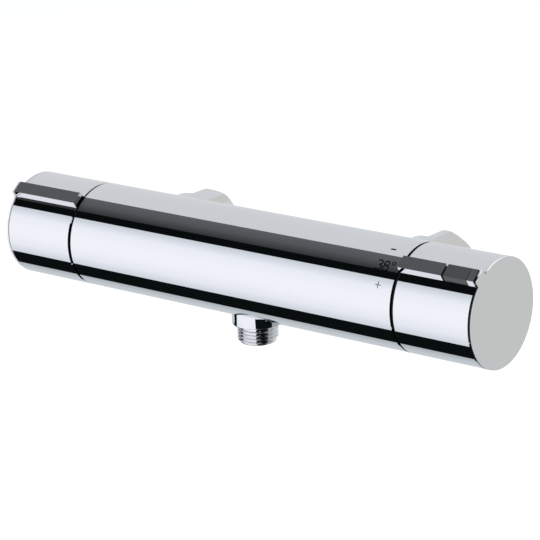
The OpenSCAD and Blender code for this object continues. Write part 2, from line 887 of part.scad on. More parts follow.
module flow_spindle() color(brass) bar_end(-1) difference() {
    union() {
        rod(driver_start, driver_end, driver_r);
        for (half = [0, 180]) rotate([0, 0, half])
            translate([fork_in_r, -fork_w / 2, driver_start - fork_depth])
                cube([driver_r - fork_in_r - turn_fit, fork_w, fork_depth + driver_t]);
        rod(driver_end, flow_spline_start, flow_shaft_r);
        spline(spline_r, flow_spline_start, spindle_end);
    }
    for (at = flow_seals) groove(at, ring_w, flow_shaft_r - ring_depth, flow_shaft_r);
    groove(clip_start, clip_t, flow_shaft_r - clip_depth, flow_shaft_r);
    fixing_drill();
}

module thrust_washer() color(plastic) bar_end(-1)
    tube(driver_end, washer_end, head_chamber_r - seat_fit, flow_shaft_r + seat_fit);

module spindle_clip() color(steel) bar_end(-1) difference() {
    tube(clip_start, clip_start + clip_t, clip_r, flow_shaft_r - clip_depth);
    translate([0, -clip_r / 3, neck_end]) cube([clip_r + overrun, clip_r * 2 / 3, clip_t + overrun]);
}

// Stop rings and knob inserts

// The lug covers the angles that the insert's tooth may not reach
module stop_ring(rib_angle, first, last) color(black_plastic) {
    free = last - first + 2 * (tooth_half + stop_slack);
    tube(neck_start, stop_end, stop_ring_r, neck_outer_r + seat_fit);
    facing(rib_angle + (first + last) / 2)
        sector(neck_start, stop_end, stop_ring_r - seat_fit, stop_lug_r, 0, 360 - free);
}

module temperature_stop_ring() bar_end(1) stop_ring(temperature_rib_angle, -cold_turn, hot_turn);
module flow_stop_ring() bar_end(-1) stop_ring(flow_rib_angle, -open_turn, 0);

module insert(rib_angle) color(plastic) difference() {
    union() {
        rod(insert_start, insert_start + insert_flange_t, insert_flange_r);
        rod(insert_start, sleeve_floor, insert_hub_r);
        facing(rib_angle + 180) sector(neck_start + tooth_gap, insert_start + insert_flange_t / 2,
            stop_ring_r + tooth_gap, stop_lug_r, 0, 2 * tooth_half);
    }
    spline(spline_r + seat_fit, insert_start - overrun, spindle_end + spindle_tip_gap);
    rod(insert_start, sleeve_floor + overrun, fixing_hole_r);
    facing(rib_angle) translate([arm_slot_r, -arm_slot_w / 2, insert_start - overrun])
        cube([insert_flange_r, arm_slot_w, insert_flange_t + 2 * overrun]);
}

module temperature_adapter() bar_end(1) insert(temperature_rib_angle);
module flow_adapter() bar_end(-1) insert(flow_rib_angle);

module fixing_screw() color(steel) difference() {
    union() {
        rod(fixing_start, screw_seat, fixing_r);
        rod(screw_seat, screw_seat + fixing_head_t, fixing_head_r);
    }
    translate([0, 0, screw_seat + fixing_head_t - fixing_socket_t])
        cylinder(h = fixing_head_t, r = fixing_socket_r, $fn = 6);
}

module temperature_screw() bar_end(1) fixing_screw();
module flow_screw() bar_end(-1) fixing_screw();

// Knobs, caps and the safety button

// Cross-section of the rib in a plane across the bar, +X outwards
module rib_section(base) {
    polygon([
        [base, -rib_base_w / 2], [rib_foot_r, -rib_base_w / 2], [rib_top, -rib_top_w / 2],
        [rib_top, rib_top_w / 2], [rib_foot_r, rib_base_w / 2], [base, rib_base_w / 2]
    ]);
}

// The rib's outer end is bevelled like the knob's rim
module rib(rib_angle, from, to) {
    lean = atan((rib_base_w - rib_top_w) / 2 / (rib_top - rib_foot_r));
    cut = rim_bevel * sqrt(2);
    facing(rib_angle) difference() {
        translate([0, 0, from]) linear_extrude(to - from) rib_section(knob_in_r);
        translate([rib_top, 0, to]) rotate([0, 45, 0])
            cube([cut, rib_base_w + 2 * overrun, cut], center = true);
        for (side = [-1, 1])
            translate([rib_foot_r, side * rib_base_w / 2, to]) rotate([0, 0, -side * lean]) rotate([45, 0, 0])
                cube([4 * rib_rise, cut, cut], center = true);
    }
}

module knob(rib_angle) color(chrome) difference() {
    union() {
        bevelled(knob_start, knob_face, knob_r, rim_bevel, knob_mouth_bevel);
        rib(rib_angle, knob_start, knob_face);
    }
    difference() {
        rod(knob_start - overrun, knob_web, knob_in_r);
        rod(sleeve_start, knob_face, sleeve_r);
    }
    rod(sleeve_start - overrun, sleeve_floor, sleeve_bore_r);
    rod(sleeve_floor - overrun, knob_face, fixing_hole_r);
    rod(screw_seat, knob_face + overrun, pocket_r);
}

module flow_knob() bar_end(-1) knob(flow_rib_angle);

module temperature_knob() bar_end(1) {
    color(chrome) difference() {
        knob(temperature_rib_angle);
        facing(temperature_rib_angle)
            translate([knob_in_r - knob_wall, -slot_half_w, slot_start])
            cube([knob_r, 2 * slot_half_w, slot_end - slot_start]);
    }
    color(chrome) facing(temperature_rib_angle) spring_seat();
}

// A round pad on the knob's sleeve that the button's spring stands on
module spring_seat() {
    difference() {
        translate([0, 0, button_mid]) rotate([0, 90, 0])
            cylinder(h = seat_pad_top, r = seat_pad_r);
        rod(sleeve_start, knob_face, sleeve_r - knob_wall / 2);
    }
}

// The button in the rib's line: its shape in rib_section, a lip that holds it in, a stem and an arm
module safety_button() color(button_grey) bar_end(1) facing(temperature_rib_angle) {
    translate([0, 0, button_start]) linear_extrude(button_len) polygon([
        [lip_bottom, -button_half_w], [rib_foot_r, -button_half_w], [rib_top, -rib_top_w / 2],
        [rib_top, rib_top_w / 2], [rib_foot_r, button_half_w], [lip_bottom, button_half_w]
    ]);
    translate([lip_bottom, -lip_half_w, lip_start])
        cube([lip_t, 2 * lip_half_w, lip_end - lip_start]);
    translate([stem_end_r, 0, button_mid]) rotate([0, 90, 0])
        cylinder(h = lip_top - stem_end_r, r = button_stem_r);
    translate([stem_end_r, -arm_w / 2, arm_end])
        cube([arm_t, arm_w, lip_start + riser_w - arm_end]);
    translate([stem_end_r, -arm_w / 2, lip_start])
        cube([lip_top - stem_end_r, arm_w, riser_w]);
}

module button_spring() color(steel) bar_end(1) facing(temperature_rib_angle)
    translate([seat_pad_top, 0, button_mid]) rotate([0, 90, 0])
        coil(button_coil_r, button_wire_r, lip_bottom - seat_pad_top, button_turns);

module end_cap(rib_angle) color(satin) {
    translate([0, 0, cap_back]) linear_extrude(cap_t) difference() {
        union() {
            circle(r = knob_r);
            facing(rib_angle) rib_section(0);
        }
        facing(rib_angle) translate([knob_r - cap_notch_d, -rib_base_w / 2 - cap_notch_w])
            square([rib_rise, cap_notch_w]);
    }
    tube(cap_back - cap_spigot_len, cap_back + cap_t / 2, cap_spigot_r, cap_spigot_r - cap_spigot_t);
}

module temperature_end_cap() bar_end(1) end_cap(temperature_rib_angle);
module flow_end_cap() bar_end(-1) end_cap(flow_rib_angle);

body_shell();
waterway();
centring_rings();
left_glide_ring();
right_glide_ring();
left_tailpiece();
right_tailpiece();
left_union_nut();
right_union_nut();
left_gasket();
right_gasket();
left_filter();
right_filter();
left_check_cage();
right_check_cage();
left_check_poppet();
right_check_poppet();
left_check_spring();
right_check_spring();
tailpiece_o_rings();
outlet_nipple();
outlet_o_ring();
thermostat_housing();
thermostat_carrier();
thermostat_nut();
thermostat_o_rings();
wax_element();
shuttle();
return_spring();
plunger();
overload_cap();
overload_spring();
spring_plate();
temperature_spindle();
spindle_seal();
temperature_stop_ring();
temperature_adapter();
temperature_screw();
temperature_knob();
safety_button();
button_spring();
temperature_end_cap();
flow_housing();
flow_o_rings();
seat_seal();
fixed_disc();
moving_disc();
flow_spindle();
thrust_washer();
spindle_clip();
flow_stop_ring();
flow_adapter();
flow_screw();
flow_knob();
flow_end_cap();
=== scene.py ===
# %% [markdown]
# A thermostatic bar shower mixer. A chrome tube hides a brass casting, and a knob turns at each
# end of it: the left one opens the water, the right one sets its temperature. The CAD part has
# every real size, so this lesson leaves the shapes where they are. It gives each piece its
# finish, winds the springs and the hose thread again as true spirals, prints the scale marks
# and builds the studio that polished chrome needs to look like chrome.

import json
import math

import bmesh
import bpy
import numpy as np
from mathutils import Matrix, Vector


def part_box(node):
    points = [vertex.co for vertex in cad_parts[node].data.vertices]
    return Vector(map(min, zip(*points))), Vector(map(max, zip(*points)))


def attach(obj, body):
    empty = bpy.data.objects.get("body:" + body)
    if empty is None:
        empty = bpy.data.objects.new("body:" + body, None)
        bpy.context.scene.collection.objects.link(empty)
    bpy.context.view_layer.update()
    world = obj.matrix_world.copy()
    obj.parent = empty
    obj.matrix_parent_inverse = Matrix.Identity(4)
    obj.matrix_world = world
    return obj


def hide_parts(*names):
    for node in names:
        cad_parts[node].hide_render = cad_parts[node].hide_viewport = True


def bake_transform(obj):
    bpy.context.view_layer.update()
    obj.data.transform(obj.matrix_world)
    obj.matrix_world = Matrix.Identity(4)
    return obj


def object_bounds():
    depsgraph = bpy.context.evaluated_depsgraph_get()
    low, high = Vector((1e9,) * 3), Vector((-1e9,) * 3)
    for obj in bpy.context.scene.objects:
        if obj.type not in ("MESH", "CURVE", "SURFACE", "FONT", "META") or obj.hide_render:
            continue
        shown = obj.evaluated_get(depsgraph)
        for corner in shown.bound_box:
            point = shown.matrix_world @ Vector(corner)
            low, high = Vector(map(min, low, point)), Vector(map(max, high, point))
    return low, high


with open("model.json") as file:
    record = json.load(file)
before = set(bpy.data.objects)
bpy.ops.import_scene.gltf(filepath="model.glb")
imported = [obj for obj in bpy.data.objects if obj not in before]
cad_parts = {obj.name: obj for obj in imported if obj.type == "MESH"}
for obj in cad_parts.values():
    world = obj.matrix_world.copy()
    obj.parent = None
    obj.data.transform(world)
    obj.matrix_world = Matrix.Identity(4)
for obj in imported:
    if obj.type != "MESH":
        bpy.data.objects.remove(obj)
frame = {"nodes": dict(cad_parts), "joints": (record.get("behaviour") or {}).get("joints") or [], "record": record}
low_at_load, high_at_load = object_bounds()
MM = 0.001
print("pieces in the part:", len(frame["nodes"]))
print("size in mm:", [round(x / MM, 1) for x in high_at_load - low_at_load])

# %% [markdown]
# Nearly everything on the mixer is turned about one of four lines: the bar's own axis, the two
# inlets' axes and the outlet's axis. They are read from the boxes of the CAD pieces once, here,
# with the faces of the joint, the cap and the nuts, and every later piece is placed from them.

# %% Measure the bar
shell_low, shell_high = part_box("body_shell")
BAR_R = (shell_high.z - shell_low.z) / 2
BAR_AXIS = Vector((0, shell_low.y + BAR_R, (shell_low.z + shell_high.z) / 2))
knob_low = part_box("temperature_knob")[0]
cap_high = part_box("temperature_end_cap")[1]
nut_low, nut_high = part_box("right_union_nut")
INLET_X = (nut_low.x + nut_high.x) / 2
nipple_low, nipple_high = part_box("outlet_nipple")
print("bar radius", round(BAR_R / MM, 2), "mm, axis at", [round(x / MM, 2) for x in BAR_AXIS])
print("joint from", round(shell_high.x / MM, 2), "to", round(knob_low.x / MM, 2), "mm")
print("inlets at", round(INLET_X / MM, 2), "mm each side")


def around_bar(x, angle, radius):
    """A point at x along the bar, turned from the top towards the front by an angle in degrees."""
    a = math.radians(angle)
    return BAR_AXIS + Vector((x, -radius * math.sin(a), radius * math.cos(a)))


# %% [markdown]
# Finishes come next. No real surface is perfectly even, so each finish is one Principled shader
# whose roughness is moved a little by a fine noise, far too little to see as a pattern. A picture
# could do that too, but noise on Object coordinates needs no file and has no seams. Constant
# values sit on the shader's own sockets.

# %% Make a finish
def add_noise(nodes, links, scale, detail):
    place = nodes.new("ShaderNodeTexCoord")
    noise = nodes.new("ShaderNodeTexNoise")
    noise.inputs["Scale"].default_value = scale
    noise.inputs["Detail"].default_value = detail
    links.new(place.outputs["Object"], noise.inputs["Vector"])
    return noise


RELIEF_DEPTH = 0.05 * MM


def finish_of(name, colour, metallic, roughness, uneven, grain=900.0, relief=0.0, shine=0.5, shade=0.0):
    """A procedural finish: its roughness and, where shade is given, its colour vary with a fine noise."""
    material = bpy.data.materials.new(name)
    material.use_nodes = True
    nodes, links = material.node_tree.nodes, material.node_tree.links
    shader = nodes["Principled BSDF"]
    shader.inputs["Base Color"].default_value = (*colour, 1)
    shader.inputs["Metallic"].default_value = metallic
    shader.inputs["Specular IOR Level"].default_value = shine
    noise = add_noise(nodes, links, grain, 3)
    spread = nodes.new("ShaderNodeMapRange")
    spread.inputs["To Min"].default_value = max(0, roughness - uneven)
    spread.inputs["To Max"].default_value = roughness + uneven
    links.new(noise.outputs["Fac"], spread.inputs["Value"])
    links.new(spread.outputs["Result"], shader.inputs["Roughness"])
    if shade:
        mix = nodes.new("ShaderNodeMix")
        mix.data_type = "RGBA"
        mix.inputs["A"].default_value = (*[c * (1 - shade) for c in colour], 1)
        mix.inputs["B"].default_value = (*[min(1, c * (1 + shade)) for c in colour], 1)
        links.new(noise.outputs["Fac"], mix.inputs["Factor"])
        links.new(mix.outputs["Result"], shader.inputs["Base Color"])
    if relief:
        bump = nodes.new("ShaderNodeBump")
        bump.inputs["Strength"].default_value = relief
        bump.inputs["Distance"].default_value = RELIEF_DEPTH
        links.new(noise.outputs["Fac"], bump.inputs["Height"])
        links.new(bump.outputs["Normal"], shader.inputs["Normal"])
    return material


print("relief of a finish:", round(RELIEF_DEPTH / MM, 3), "mm at the most")

# %% [markdown]
# The mixer needs ten finishes and one ink. Chrome is plain to write: a metal with almost no
# roughness. The brass of the casting is rougher, because it is machined and stays hidden. The end
# caps are matt silver, and the button is the same matt coat in dark grey. Rubber, plastic and
# ceramic aren't metals, so only their colour and roughness tell them apart. The ink of the marks
# is dull, so that it stays dark where the chrome beside it shines.

# %% List the finishes
FINE_GRAIN = 1500
FINISHES = {
    "chrome": finish_of("polished_chrome", (0.80, 0.81, 0.83), 1, 0.02, 0.008, grain=60),
    "brass": finish_of("machined_brass", (0.78, 0.60, 0.30), 1, 0.3, 0.08, relief=0.15, shade=0.08),
    "copper": finish_of("drawn_copper", (0.72, 0.42, 0.25), 1, 0.25, 0.06, shade=0.08),
    "steel": finish_of("drawn_steel", (0.60, 0.61, 0.63), 1, 0.25, 0.06, relief=0.1),
    "rubber": finish_of("black_rubber", (0.025, 0.025, 0.027), 0, 0.6, 0.08, relief=0.3),
    "white_plastic": finish_of("white_plastic", (0.80, 0.79, 0.75), 0, 0.42, 0.05, relief=0.1, shade=0.03),
    "black_plastic": finish_of(
        "black_plastic", (0.010, 0.010, 0.011), 0, 0.55, 0.06, relief=0.15, shine=0.15),
    "ceramic": finish_of("lapped_ceramic", (0.88, 0.87, 0.83), 0, 0.12, 0.03, shade=0.02),
    "satin_silver": finish_of(
        "satin_silver", (0.59, 0.597, 0.59), 0.15, 0.45, 0.04, grain=FINE_GRAIN, relief=0.2, shade=0.02),
    "button_grey": finish_of(
        "satin_button_grey", (0.065, 0.066, 0.066), 0.2, 0.32, 0.04, grain=FINE_GRAIN, relief=0.15),
}
MARK_INK = finish_of("mark_ink", (0.004, 0.004, 0.004), 0, 0.6, 0.05, shine=0.05)
print("finishes:", ", ".join(sorted(FINISHES)))

# %% [markdown]
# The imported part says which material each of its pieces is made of. So the pieces aren't painted
# one by one: each gets the finish that its own row of the record names. Their shapes are exact
# already and stay as they are.

# %% Dress the CAD pieces
for row in frame["record"]["subparts"]:
    piece = frame["nodes"][row["node"]]
    piece.data.materials.clear()
    piece.data.materials.append(FINISHES[row["material_slot"]])

# %% [markdown]
# The lines that a hand feels are the narrow gaps: between the tube and each knob, and between a
# knob and its end cap. On the real mixer they read as black lines beside fine bright edges,
# because next to no light reaches into them. Here that shade is painted into the colour as black,
# and the bright edges of the caps as a painted highlight. The faces in a gap could get a material
# of their own, but a CAD mesh is never cut. So the material itself asks where a point lies. It
# does so with sums on the Object coordinates, one Math node for each.

# %% Find the points of a zone
def math_node(tree, operation, a, b):
    node = tree.nodes.new("ShaderNodeMath")
    node.operation = operation
    for k, value in enumerate((a, b)):
        if isinstance(value, (int, float)):
            node.inputs[k].default_value = value
        else:
            tree.links.new(value, node.inputs[k])
    return node.outputs[0]


def inside_of(tree, zones):
    """A socket that gives 1 where all the zones meet and 0 elsewhere.

    A zone is an axis, or R for the distance from the bar's axis, and where it begins and ends."""
    nodes, links = tree.nodes, tree.links
    place = nodes.new("ShaderNodeTexCoord")
    split = nodes.new("ShaderNodeSeparateXYZ")
    links.new(place.outputs["Object"], split.inputs["Vector"])
    across = nodes.new("ShaderNodeCombineXYZ")
    links.new(math_node(tree, "SUBTRACT", split.outputs["Y"], BAR_AXIS.y), across.inputs["Y"])
    links.new(math_node(tree, "SUBTRACT", split.outputs["Z"], BAR_AXIS.z), across.inputs["Z"])
    radius = nodes.new("ShaderNodeVectorMath")
    radius.operation = "LENGTH"
    links.new(across.outputs["Vector"], radius.inputs[0])
    inside = 1
    for axis, start, stop in zones:
        signed = radius.outputs["Value"] if axis == "R" else split.outputs[axis]
        size = math_node(tree, "ABSOLUTE", signed, 0)
        inside = math_node(tree, "MULTIPLY", inside, math_node(tree, "GREATER_THAN", size, start))
        inside = math_node(tree, "MULTIPLY", inside, math_node(tree, "LESS_THAN", size, stop))
    return inside


print("zones can use X, Y, Z and R, from the axis at", round(BAR_AXIS.y / MM, 2), "mm")

# %% [markdown]
# A finish with painted light is a copy of a finish, so that its roughness and its fine noise go on
# unbroken through the zone and only the colour changes: there it takes a painted shade or a painted
# highlight. A Mix node puts that painted colour in front of whatever fed the colour before, be it
# one value or a noise.

# %% Paint shade or a highlight into a finish by place
def with_painted_light(finish, name, painted_tone, *zones):
    """A copy of a finish with a painted shade or highlight colour where all the zones meet."""
    material = finish.copy()
    material.name = name
    nodes, links = material.node_tree.nodes, material.node_tree.links
    inside = inside_of(material.node_tree, zones)
    # The mix lays the painted shade or highlight colour over the finish's own colour inside the zones.
    mix = nodes.new("ShaderNodeMix")
    mix.data_type = "RGBA"
    links.new(inside, mix.inputs["Factor"])
    colour = nodes["Principled BSDF"].inputs["Base Color"]
    if colour.is_linked:
        links.new(colour.links[0].from_socket, mix.inputs["A"])
    else:
        mix.inputs["A"].default_value = colour.default_value
    mix.inputs["B"].default_value = painted_tone
    links.new(mix.outputs["Result"], colour)
    return material


print("gap at the joint:", round((knob_low.x - shell_high.x) / MM, 2), "mm")

# %% [markdown]
# The joint's painted shade begins halfway down the bevel of the tube and ends just inside the knob.
# It stops at the bar's own radius, so the ribs keep their ends. The nuts get a painted black shade
# in the slit behind the bosses. The left cap gets a painted highlight all round its rim, where a
# turned edge would catch the light. The right one gets a painted highlight only at its top, and a
# painted black shade in its gap but for short stretches at the top and bottom.

# %% Paint shade into the gaps and highlights on the caps
# Black is painted shade and near white is a painted highlight, both put into the colour.
PAINTED_SHADE, PAINTED_HIGHLIGHT = (0.004, 0.004, 0.004, 1), (0.93, 0.93, 0.93, 1)
FAR = 1.0
HALF_BEVEL, INTO_KNOB, OVER_BAR = 0.25 * MM, 0.1 * MM, 0.05 * MM
# Painted black shade where the tube and the knob meet.
JOINT_SHADE = ("X", shell_high.x - HALF_BEVEL, knob_low.x + INTO_KNOB), ("R", 0, BAR_R + OVER_BAR)
SLIT_DEPTH = 1.6 * MM
# Painted black shade in the slit between a boss and its nut.
NUT_SLIT_SHADE = (("Y", -nut_low.y - SLIT_DEPTH, FAR),)
FACE_DEPTH, TOP_DEPTH, GAP_DEPTH = 0.12 * MM, 0.55 * MM, 0.4 * MM
TOP_FROM, GAP_TO = 27 * MM, 26.2 * MM
CAP_EDGE = cap_high.x - FACE_DEPTH
# Painted highlight on a cap's rim: all round on the left cap, along the top on the right one.
CAP_RIM_HIGHLIGHT = (("X", 0, CAP_EDGE),)
CAP_TOP_HIGHLIGHT = ("X", cap_high.x - TOP_DEPTH, CAP_EDGE), ("Z", TOP_FROM, FAR)
# Painted black shade in the right cap's gap.
CAP_GAP_SHADE = ("X", 0, cap_high.x - GAP_DEPTH), ("Z", 0, GAP_TO)
chrome, silver = FINISHES["chrome"], FINISHES["satin_silver"]
# Copies of the satin silver with a painted highlight on the rim.
painted_rim_highlight = with_painted_light(silver, "silver_painted_rim_highlight", PAINTED_HIGHLIGHT, *CAP_RIM_HIGHLIGHT)
painted_top_highlight = with_painted_light(silver, "silver_painted_top_highlight", PAINTED_HIGHLIGHT, *CAP_TOP_HIGHLIGHT)
# Each of these materials paints shade, and on the caps a highlight, into the colour where its zones meet.
PAINTED_LIGHT_FINISHES = {
    with_painted_light(chrome, "chrome_painted_shade_at_joint", PAINTED_SHADE, *JOINT_SHADE): ("body_shell", "flow_knob", "temperature_knob"),
    with_painted_light(chrome, "chrome_painted_shade_in_nut_slit", PAINTED_SHADE, *NUT_SLIT_SHADE): ("left_union_nut", "right_union_nut"),
    with_painted_light(painted_top_highlight, "silver_painted_top_highlight_and_gap_shade", PAINTED_SHADE, *CAP_GAP_SHADE): ("temperature_end_cap",),
    painted_rim_highlight: ("flow_end_cap",),
}
for finish, names in PAINTED_LIGHT_FINISHES.items():
    for node in names:
        frame["nodes"][node].data.materials[0] = finish
print("gap finishes:", ", ".join(finish.name for finish in PAINTED_LIGHT_FINISHES))

# %% [markdown]
# Threads and springs are the same thing: a section swept along a spiral. The spiral could be
# drawn point by point, but a Geometry Nodes tree says it once, and its sizes are named inputs, so
# each tree serves every spring or thread on the mixer. Both trees begin with the same spiral and
# end with the same steps, which are written first.

# %% Begin and end a tree
def new_tree(name, inputs):
    tree = bpy.data.node_groups.new(name, "GeometryNodeTree")
    tree.interface.new_socket("Geometry", in_out="OUTPUT", socket_type="NodeSocketGeometry")
    for label, kind, value in inputs:
        socket = tree.interface.new_socket(label, in_out="INPUT", socket_type=kind)
        if value is not None:
            socket.default_value = value
    return tree, tree.nodes.new("NodeGroupInput"), tree.nodes.new("NodeGroupOutput")


def add_spiral(tree, given):
    """A spiral up local Z from the Radius, Length, Turns and Steps inputs."""
    spiral = tree.nodes.new("GeometryNodeCurveSpiral")
    tree.links.new(given["Steps"], spiral.inputs["Resolution"])
    tree.links.new(given["Turns"], spiral.inputs["Rotations"])
    tree.links.new(given["Radius"], spiral.inputs["Start Radius"])
    tree.links.new(given["Radius"], spiral.inputs["End Radius"])
    tree.links.new(given["Length"], spiral.inputs["Height"])
    return spiral.outputs["Curve"]


def end_tree(tree, mesh, given, output):
    shade = tree.nodes.new("GeometryNodeSetShadeSmooth")
    paint = tree.nodes.new("GeometryNodeSetMaterial")
    real = tree.nodes.new("GeometryNodeRealizeInstances")
    tree.links.new(mesh, shade.inputs["Geometry"])
    tree.links.new(shade.outputs["Geometry"], real.inputs["Geometry"])
    tree.links.new(real.outputs["Geometry"], paint.inputs["Geometry"])
    tree.links.new(given["Material"], paint.inputs["Material"])
    tree.links.new(paint.outputs["Geometry"], output.inputs["Geometry"])


SPIRAL_INPUTS = [
    ("Radius", "NodeSocketFloat", 5 * MM),
    ("Length", "NodeSocketFloat", 10 * MM),
    ("Turns", "NodeSocketFloat", 5.0),
    ("Steps", "NodeSocketInt", 48),
    ("Material", "NodeSocketMaterial", None),
]
print("inputs of every spiral:", ", ".join(label for label, *_ in SPIRAL_INPUTS))

# %% [markdown]
# A compression spring is round wire. Its last coils lie close together, so that it can stand on
# its end. An even spiral doesn't do that, so its points are moved along the axis: the coils climb
# slowly near both ends and faster between them, which a smooth step does without a kink.

# %% Build the tree of a spring
CLOSED_SHARE = 0.7
WIRE_FACETS = 12


def make_wire_tree():
    """A compression spring whose end coils close up."""
    wire_input = ("Wire Radius", "NodeSocketFloat", 0.4 * MM)
    tree, source, output = new_tree("spring_wire", SPIRAL_INPUTS + [wire_input])
    given = source.outputs
    curve = add_spiral(tree, given)
    along = tree.nodes.new("GeometryNodeSplineParameter")
    ease = tree.nodes.new("ShaderNodeMapRange")
    ease.interpolation_type = "SMOOTHSTEP"
    tree.links.new(along.outputs["Factor"], ease.inputs["Value"])
    lag = math_node(tree, "SUBTRACT", ease.outputs["Result"], along.outputs["Factor"])
    rise = math_node(tree, "MULTIPLY", math_node(tree, "MULTIPLY", lag, given["Length"]), CLOSED_SHARE)
    combine = tree.nodes.new("ShaderNodeCombineXYZ")
    tree.links.new(rise, combine.inputs["Z"])
    move = tree.nodes.new("GeometryNodeSetPosition")
    tree.links.new(curve, move.inputs["Geometry"])
    tree.links.new(combine.outputs["Vector"], move.inputs["Offset"])
    ring = tree.nodes.new("GeometryNodeCurvePrimitiveCircle")
    ring.inputs["Resolution"].default_value = WIRE_FACETS
    tree.links.new(given["Wire Radius"], ring.inputs["Radius"])
    sweep = tree.nodes.new("GeometryNodeCurveToMesh")
    sweep.inputs["Fill Caps"].default_value = True
    tree.links.new(move.outputs["Geometry"], sweep.inputs["Curve"])
    tree.links.new(ring.outputs["Curve"], sweep.inputs["Profile Curve"])
    end_tree(tree, sweep.outputs["Mesh"], given, output)
    return tree


WIRE_TREE = make_wire_tree()
print("tree:", WIRE_TREE.name)

# %% [markdown]
# A pipe thread's tooth is a blunt V. It is swept along the spiral with its crest outwards. A
# tilted tooth would be wrong, so the curve's normals are kept upright. Its root is wider than its
# crest, so that the flanks slope nearly as they do on a real thread.

# %% Build the tree of a thread
def make_thread_tree():
    """A blunt V tooth swept along a spiral, with its crest outwards."""
    tree, source, output = new_tree("pipe_thread", SPIRAL_INPUTS + [
        ("Depth", "NodeSocketFloat", 1.16 * MM),
        ("Root Width", "NodeSocketFloat", 1.6 * MM),
        ("Crest Width", "NodeSocketFloat", 0.4 * MM),
    ])
    given = source.outputs
    curve = add_spiral(tree, given)
    upright = tree.nodes.new("GeometryNodeSetCurveNormal")
    upright.mode = "Z_UP"
    tree.links.new(curve, upright.inputs["Curve"])
    tooth = tree.nodes.new("GeometryNodeCurvePrimitiveQuadrilateral")
    tooth.mode = "TRAPEZOID"
    tooth.inputs["Offset"].default_value = 0
    tree.links.new(given["Root Width"], tooth.inputs["Bottom Width"])
    tree.links.new(given["Crest Width"], tooth.inputs["Top Width"])
    tree.links.new(given["Depth"], tooth.inputs["Height"])
    turn = tree.nodes.new("GeometryNodeTransform")
    turn.inputs["Rotation"].default_value = (0, 0, math.pi / 2)
    tree.links.new(tooth.outputs["Curve"], turn.inputs["Geometry"])
    sweep = tree.nodes.new("GeometryNodeCurveToMesh")
    sweep.inputs["Fill Caps"].default_value = True
    tree.links.new(upright.outputs["Curve"], sweep.inputs["Curve"])
    tree.links.new(turn.outputs["Geometry"], sweep.inputs["Profile Curve"])
    end_tree(tree, sweep.outputs["Mesh"], given, output)
    return tree


THREAD_TREE = make_thread_tree()
print("tree:", THREAD_TREE.name)

# %% [markdown]
# A tree only shows its work as a modifier.

# %% Grow a piece from a tree
def grown(tree, name, place, values):
    """Runs a tree with these values and returns its mesh, moved to its place, as a plain object."""
    seed = bpy.data.objects.new(name + "_seed", bpy.data.meshes.new(name + "_seed"))
    bpy.context.scene.collection.objects.link(seed)
    modifier = seed.modifiers.new("grow", "NODES")
    modifier.node_group = tree
    for item in tree.interface.items_tree:
        if item.in_out == "INPUT" and item.name in values:
            modifier[item.identifier] = values[item.name]
    evaluated = seed.evaluated_get(bpy.context.evaluated_depsgraph_get())
    mesh = bpy.data.meshes.new_from_object(evaluated)
    mesh.name = name
    mesh.transform(place)
    bpy.data.objects.remove(seed)
    piece = bpy.data.objects.new(name, mesh)
    bpy.context.scene.collection.objects.link(piece)
    return piece


print("trees to grow from:", ", ".join(tree.name for tree in bpy.data.node_groups))

# %% [markdown]
# The mixer hides five springs: one behind each non-return valve, the big one that pushes the
# thermostat's shuttle back, a stiff one that gives way when the element overheats, and the small
# one under the safety button. The CAD shows them as faceted wire, so each is wound again, round
# and with closed ends, between the same two faces. Four of them push a piece that moves, and
# they are left in place, fixed to nothing. The stiff one only gives way when something is wrong,
# so it rides with its body.

# %% Wind one spring
STEPS_PER_TURN = 40
BODY_OF = {n: body for body, names in frame["record"]["behaviour"]["bodies"].items() for n in names}


def wound(name, node, start, direction, length, radius, wire, turns, pushes=None):
    """A wound spring for a CAD node, from its seat at start along the direction; it rides with the node's body
    unless it pushes a moving piece.
    """
    place = Matrix.Translation(start) @ direction.to_track_quat("Z", "X").to_matrix().to_4x4()
    lift = Matrix.Translation((0, 0, wire))
    piece = grown(WIRE_TREE, name, place @ lift, {
        "Radius": radius, "Length": length - 2 * wire, "Turns": turns, "Wire Radius": wire,
        "Steps": STEPS_PER_TURN, "Material": FINISHES["steel"],
    })
    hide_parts(node)
    if not pushes:
        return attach(piece, BODY_OF[node])
    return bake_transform(piece)


print("bodies in the part:", len(set(BODY_OF.values())))

# %% [markdown]
# The valves' springs stand along the inlets, the thermostat's two lie along the bar and the
# button's points at the bar's axis. Seats and lengths are read from the boxes of the CAD pieces.
# The button's spring lies askew, so its box can't say how long it is: its foot and its length are
# sizes of their own.

# %% Wind all five
X, Y = Vector((1, 0, 0)), Vector((0, 1, 0))
for side, sign in (("left", -1), ("right", 1)):
    low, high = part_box(side + "_check_spring")
    wound(side + "_valve_spring", side + "_check_spring", Vector((sign * INLET_X, low.y, 0)), Y,
          high.y - low.y, 3 * MM, 0.35 * MM, 6, pushes=side + "_poppet")
for name, node, radius, wire, turns, pushes in (
    ("shuttle_spring", "return_spring", 8.2 * MM, 0.7 * MM, 6, "thermostat_slide"),
    ("relief_spring", "overload_spring", 4.5 * MM, 0.6 * MM, 5, None),
):
    low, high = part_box(node)
    foot = Vector((low.x, BAR_AXIS.y, BAR_AXIS.z))
    wound(name, node, foot, X, high.x - low.x, radius, wire, turns, pushes)
press = Vector(next(j["axis"] for j in frame["joints"] if j["name"] == "safety_press"))
BUTTON_ANGLE = math.degrees(math.atan2(press.y, -press.z))
spring_low, spring_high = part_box("button_spring")
SPRING_FOOT_R, SPRING_LEN = 14 * MM, 8.28 * MM
foot = around_bar((spring_low.x + spring_high.x) / 2, BUTTON_ANGLE, SPRING_FOOT_R)
wound("button_return_spring", "button_spring", foot, -press, SPRING_LEN, 2.3 * MM, 0.3 * MM, 6, "button")
print("button turned", round(BUTTON_ANGLE, 1), "degrees from the top")

